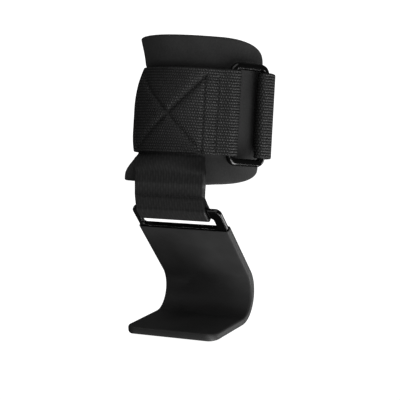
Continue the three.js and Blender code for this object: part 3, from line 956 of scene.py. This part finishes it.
pinch_slide = math.tan(HOOK_TURN) * (HANG_FORWARD - PINCH_BACK)
pinch_rows = np.tile([PINCH_BACK, PINCH, FRONT_LAYER_LIFT, 0.0, pinch_slide], (60, 1))
pinch_reach = half_hook_strap - PINCH_INSET
pinch_line = hook_strap_spot(pinch_rows, np.linspace(-pinch_reach, pinch_reach, 60))
pinch_line[:, :2] -= hook_away * (HOOK_STRAP_THICK / 2 - PINCH_DENT + 0.5 * THREAD_RADIUS)
pinch_seam = sew("hook_strap_stitches", [pinch_line])


# Hook plate
# Flat 3 mm steel bar, slotted near its top and bent to a J, with its sheared edges dressed round.
# It is enamelled like the ring, and only its top and its slot show above the coat.

STEEL_WIDE = 57.0
STEEL_EDGE = 1.2
STEEL_SQUARE = 3.0
BEND_ANGLE = math.radians(132.7)
BEND_RADIUS = 16.2
SHANK_LONG = 61.0
LIP_LONG = 40.4
TOP_CORNER = 4.0
LIP_CORNER = 6.5
SLOT_HIGH = 9.8
SLOT_WIDE = 48.0
SLOT_CORNER = 2.0
SLOT_SHIFT = -1.4
SLOT_BEVEL = 0.5
BEND_END = SHANK_LONG + BEND_RADIUS * BEND_ANGLE
HOOK_LONG = BEND_END + LIP_LONG


def hook_side(along, offset):
    """The hook's side view: y towards the back and z up, from the middle of its top edge."""
    turned = np.clip((along - SHANK_LONG) / BEND_RADIUS, 0, BEND_ANGLE)
    angle = SHANK_TILT - turned
    heading = np.stack([np.sin(angle), -np.cos(angle)], axis=-1)
    front = np.stack([-np.cos(angle), -np.sin(angle)], axis=-1)
    past = np.maximum(0, along - BEND_END)[..., None]
    spot = shank_down * np.minimum(along, SHANK_LONG)[..., None] + shank_front * BEND_RADIUS
    return spot - front * (BEND_RADIUS - offset) + heading * past


def hook_place(aside, side_view):
    """Turns and lifts points of the side view to where the hook hangs."""
    level = HOOK_TOP[:2] + hook_across * aside[..., None] + hook_away * side_view[..., :1]
    return np.concatenate([level, side_view[..., 1:] + HOOK_TOP[2]], axis=-1)


def plate_middle(grow, top_corner):
    def middle(share, along):
        drop = corner_drop(HOOK_LONG + grow - along, LIP_CORNER + grow, LIP_CORNER + grow)
        if top_corner:
            drop = drop + corner_drop(along, TOP_CORNER, TOP_CORNER)
        half = STEEL_WIDE / 2 + grow - drop
        return hook_place(share / (STEEL_WIDE / 2 + grow) * half, hook_side(along, 0.0))

    return middle


def hook_stops(start, grow, edge, square):
    """Places along the hook, close together at its rounded ends and round its bend."""
    end = HOOK_LONG + grow
    turn = np.linspace(0, math.pi / 2, 7)[:-1]
    curve = edge * (1 - np.cos(turn) ** (2 / square))
    lip = LIP_CORNER + grow
    lip_stops = end - lip * (1 - np.sin(np.linspace(0, math.pi / 2, 14)[:-1])) - 1e-6
    bend = np.linspace(SHANK_LONG, BEND_END, 40)
    stops = np.concatenate([bend, lip_stops, end - curve])
    if start == 0:
        stops = np.concatenate([curve, np.linspace(edge, TOP_CORNER, 6), stops])
    else:
        stops = np.concatenate([[start, start + 1], stops])
    stops = np.unique(np.round(stops, 4))
    keep = np.concatenate([[True], np.diff(stops) > 0.02])
    return stops[keep]


def slot_cutter():
    """The slot's punch: a block with round corners, square to the shank."""
    half_wide = SLOT_WIDE / 2 - SLOT_CORNER
    half_high = SLOT_HIGH / 2 - SLOT_CORNER
    outline = []
    for x, y, start in ((1, 1, 0.0), (-1, 1, 0.5), (-1, -1, 1.0), (1, -1, 1.5)):
        for turn in math.pi * (start + np.linspace(0, 0.5, 8)):
            out = SLOT_CORNER * np.array([math.cos(turn), math.sin(turn)])
            outline.append(np.array([x * half_wide, y * half_high]) + out)
    outline = np.array(outline)
    aside = outline[:, 0] + SLOT_SHIFT
    along = SLOT_BAR + SLOT_HIGH / 2 - outline[:, 1]
    rings = []
    for offset in (2 * STEEL_THICK, -2 * STEEL_THICK):
        side = shank_down * along[:, None] + shank_front * offset
        rings.append(hook_place(aside, side) * MM)
    count = len(outline)
    work = bmesh.new()
    front, back = ([work.verts.new(spot) for spot in ring] for ring in rings)
    work.faces.new(front)
    work.faces.new(back[::-1])
    for i in range(count):
        j = (i + 1) % count
        work.faces.new((front[i], back[i], back[j], front[j]))
    bmesh.ops.recalc_face_normals(work, faces=work.faces)
    mesh = bpy.data.meshes.new("slot_punch")
    work.to_mesh(mesh)
    work.free()
    punch = bpy.data.objects.new("slot_punch", mesh)
    bpy.context.scene.collection.objects.link(punch)
    return punch


half_steel = STEEL_WIDE / 2
plate_points, plate_faces, plate_flat, _ = two_faces(
    edge_stops(-half_steel, half_steel, STEEL_EDGE, half_steel, STEEL_SQUARE),
    hook_stops(0, 0, STEEL_EDGE, STEEL_SQUARE),
    plate_middle(0.0, True),
    lambda across, along, face: STEEL_THICK / 2 + 0 * across,
    STEEL_EDGE,
    STEEL_SQUARE,
)
blank = mesh_piece("plate_blank", plate_points, plate_faces, plate_flat, enamel)
punch = slot_cutter()
cut = blank.modifiers.new("slot", "BOOLEAN")
cut.operation = "DIFFERENCE"
cut.solver = "EXACT"
cut.object = punch
plate_mesh = bpy.data.meshes.new_from_object(
    blank.evaluated_get(bpy.context.evaluated_depsgraph_get())
)
plate_mesh.name = "hook_plate_enamelled"
hook_plate = bpy.data.objects.new("hook_plate_enamelled", plate_mesh)
bpy.context.scene.collection.objects.link(hook_plate)
bpy.data.objects.remove(blank)
bpy.data.objects.remove(punch)
bevel = hook_plate.modifiers.new("slot_edge", "BEVEL")
bevel.width = SLOT_BEVEL * MM
bevel.segments = 3
bevel.limit_method = "ANGLE"
bevel.angle_limit = math.radians(50)
bevel.harden_normals = True
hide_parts("hook_plate")
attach(hook_plate, "root")


# Hook coat
# A sleeve of soft rubber, dipped over the bent plate up to just under the slot, so that it grips
# the bar. It is closed round the lip, and its edges are rounder than the steel's.

COAT_WALL = 0.6
COAT_CLEAR = 0.2
COAT_START = 17.3
COAT_EDGE = 2.0
COAT_MOUTH_BEVEL = 0.25


# Nitrile rubber, dipped and cured: matt with a dull shine at low angles, fine pits in the skin
# and cloudy rubbed patches.
def make_rubber():
    material, tree = new_material("nitrile_rubber_dipped")
    place = add_node(tree, "ShaderNodeTexCoord").outputs["Object"]
    cloud = add_node(
        tree, "ShaderNodeTexNoise", None, {"Vector": place, "Scale": 1 / (18 * MM), "Detail": 4.0}
    )
    pits = add_node(
        tree, "ShaderNodeTexNoise", None, {"Vector": place, "Scale": 1 / (0.9 * MM), "Detail": 2.0}
    )
    colour = add_node(tree, "ShaderNodeValToRGB", None, {"Fac": cloud.outputs["Fac"]})
    colour.color_ramp.elements[0].position = 0.3
    colour.color_ramp.elements[0].color = srgb("#2b2b2b")
    colour.color_ramp.elements[1].position = 0.7
    colour.color_ramp.elements[1].color = srgb("#353535")
    rough = add_node(
        tree,
        "ShaderNodeMapRange",
        None,
        {"Value": cloud.outputs["Fac"], "To Min": 0.48, "To Max": 0.62},
    )
    bump = add_node(
        tree,
        "ShaderNodeBump",
        None,
        {"Strength": 0.4, "Distance": 0.08 * MM, "Height": pits.outputs["Fac"]},
    )
    surface = add_node(
        tree,
        "ShaderNodeBsdfPrincipled",
        None,
        {
            "Base Color": colour.outputs["Color"],
            "Roughness": rough.outputs["Result"],
            "IOR": 1.52,
            "Specular IOR Level": 0.4,
            "Normal": bump.outputs["Normal"],
        },
    )
    add_node(tree, "ShaderNodeOutputMaterial", None, {"Surface": surface.outputs["BSDF"]})
    return material


def coat_skin(grow, half_thick, edge):
    half = STEEL_WIDE / 2 + grow
    share = edge_stops(-half, half, edge, 3.0, STEEL_SQUARE)
    return two_faces(
        share,
        hook_stops(COAT_START, grow, edge, STEEL_SQUARE),
        plate_middle(grow, False),
        lambda across, along, face: half_thick + 0 * across,
        edge,
        STEEL_SQUARE,
        mouth=True,
    )


half_clear = STEEL_THICK / 2 + COAT_CLEAR
outer_points, outer_faces, outer_flat, outer_loop = coat_skin(
    COAT_CLEAR + COAT_WALL, half_clear + COAT_WALL, COAT_EDGE
)
inner_points, inner_faces, inner_flat, inner_loop = coat_skin(COAT_CLEAR, half_clear, STEEL_EDGE)
inner_loop = inner_loop + len(outer_points)
mouth_faces = np.stack(
    [outer_loop, inner_loop, np.roll(inner_loop, -1), np.roll(outer_loop, -1)], axis=-1
)
rubber = make_rubber()
hook_coat = mesh_piece(
    "hook_coat_rubber",
    np.concatenate([outer_points, inner_points]),
    np.concatenate([outer_faces, inner_faces[:, ::-1] + len(outer_points), mouth_faces]),
    np.concatenate([outer_flat, inner_flat]),
    rubber,
)
bevel = hook_coat.modifiers.new("mouth_edge", "BEVEL")
bevel.width = COAT_MOUTH_BEVEL * MM
bevel.segments = 2
bevel.limit_method = "ANGLE"
bevel.angle_limit = math.radians(60)
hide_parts("hook_coat")
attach(hook_coat, "root")


# Floor, light and camera
# A pale studio floor, lit evenly from within and well below the hanging cuff, soft boxes mostly low
# on the right, two small lamps for the glints on the enamel, and a long lens level with the cuff.

FLOOR_Z = -0.75
CAMERA_AT = Vector((0.003, -0.8, -0.0513))
CAMERA_LENS = 120.0
CAMERA_ROLL = math.radians(-3.2)
LIGHT_AIM = Vector((0.0, 0.0, -0.04))


# Opal white studio floor panel, lit evenly from below.
def make_floor_panel():
    material, tree = new_material("opal_floor_panel")
    place = add_node(tree, "ShaderNodeTexCoord").outputs["Object"]
    mottle = add_node(tree, "ShaderNodeTexNoise", None, {"Vector": place, "Scale": 6.0})
    colour = add_node(tree, "ShaderNodeValToRGB", None, {"Fac": mottle.outputs["Fac"]})
    colour.color_ramp.elements[0].color = srgb("#f6f6f6")
    colour.color_ramp.elements[1].color = srgb("#fafafa")
    surface = add_node(
        tree,
        "ShaderNodeBsdfPrincipled",
        None,
        {
            "Base Color": colour.outputs["Color"],
            "Roughness": 0.9,
            "Specular IOR Level": 0.1,
            "Emission Color": srgb("#ffffff"),
            "Emission Strength": 1.0,
        },
    )
    add_node(tree, "ShaderNodeOutputMaterial", None, {"Surface": surface.outputs["BSDF"]})
    return material


def add_light(name, turn, height, distance, size, watts):
    """A round soft box, turned in degrees from the camera's side and raised from the level."""
    turn, height = math.radians(turn), math.radians(height)
    lamp = bpy.data.lights.new(name, "AREA")
    lamp.shape = "DISK"
    lamp.size = size
    lamp.energy = watts
    holder = bpy.data.objects.new(name, lamp)
    level = math.cos(height)
    towards = Vector((math.sin(turn) * level, -math.cos(turn) * level, math.sin(height)))
    holder.location = LIGHT_AIM + towards * distance
    holder.rotation_euler = towards.to_track_quat("Z", "Y").to_euler()
    holder.visible_camera = False
    bpy.context.scene.collection.objects.link(holder)
    return holder


floor_mesh = bpy.data.meshes.new("floor")
floor_work = bmesh.new()
bmesh.ops.create_circle(floor_work, cap_ends=True, segments=96, radius=6.0)
bmesh.ops.translate(floor_work, verts=floor_work.verts, vec=(0, 0, FLOOR_Z))
floor_work.to_mesh(floor_mesh)
floor_work.free()
floor_mesh.materials.append(make_floor_panel())
floor = bpy.data.objects.new("floor", floor_mesh)
floor.visible_diffuse = False
floor.visible_glossy = False
bpy.context.scene.collection.objects.link(floor)

add_light("key", 30, -30, 0.75, 0.45, 2.0)
add_light("under", 55, -55, 0.75, 0.45, 3.9)
add_light("rim", 110, -10, 0.75, 0.4, 1.3)
add_light("top", 0, 60, 1.2, 1.0, 1.8)
add_light("front", 0, 0, 1.0, 0.5, 0.8)
add_light("fill", -45, 40, 0.9, 0.6, 0.65)
add_light("corner_glint", -60, -40, 0.8, 0.05, 0.14)
add_light("edge_glint", 97, -45, 0.8, 0.1, 0.35)

world = bpy.data.worlds.new("studio")
bpy.context.scene.world = world
world.use_nodes = True
sky = world.node_tree
sky.nodes.clear()
seen = add_node(sky, "ShaderNodeLightPath")
ambient = add_node(sky, "ShaderNodeBackground", None, {"Color": (1, 1, 1, 1), "Strength": 0.05})
backdrop = add_node(sky, "ShaderNodeBackground", None, {"Color": (1, 1, 1, 1), "Strength": 1.2})
either = add_node(
    sky,
    "ShaderNodeMixShader",
    None,
    {0: seen.outputs["Is Camera Ray"], 1: ambient.outputs[0], 2: backdrop.outputs[0]},
)
add_node(sky, "ShaderNodeOutputWorld", None, {"Surface": either.outputs[0]})

camera_data = bpy.data.cameras.new("camera")
camera_data.lens = CAMERA_LENS
camera_data.sensor_width = 36.0
camera_data.clip_start = 0.01
camera_data.clip_end = 50.0
camera = bpy.data.objects.new("camera", camera_data)
level_view = Matrix.Rotation(math.radians(90), 4, "X")
camera.matrix_world = (
    Matrix.Translation(CAMERA_AT) @ Matrix.Rotation(CAMERA_ROLL, 4, "Y") @ level_view
)
bpy.context.scene.collection.objects.link(camera)
bpy.context.scene.camera = camera
bpy.context.scene.view_settings.view_transform = "Standard"
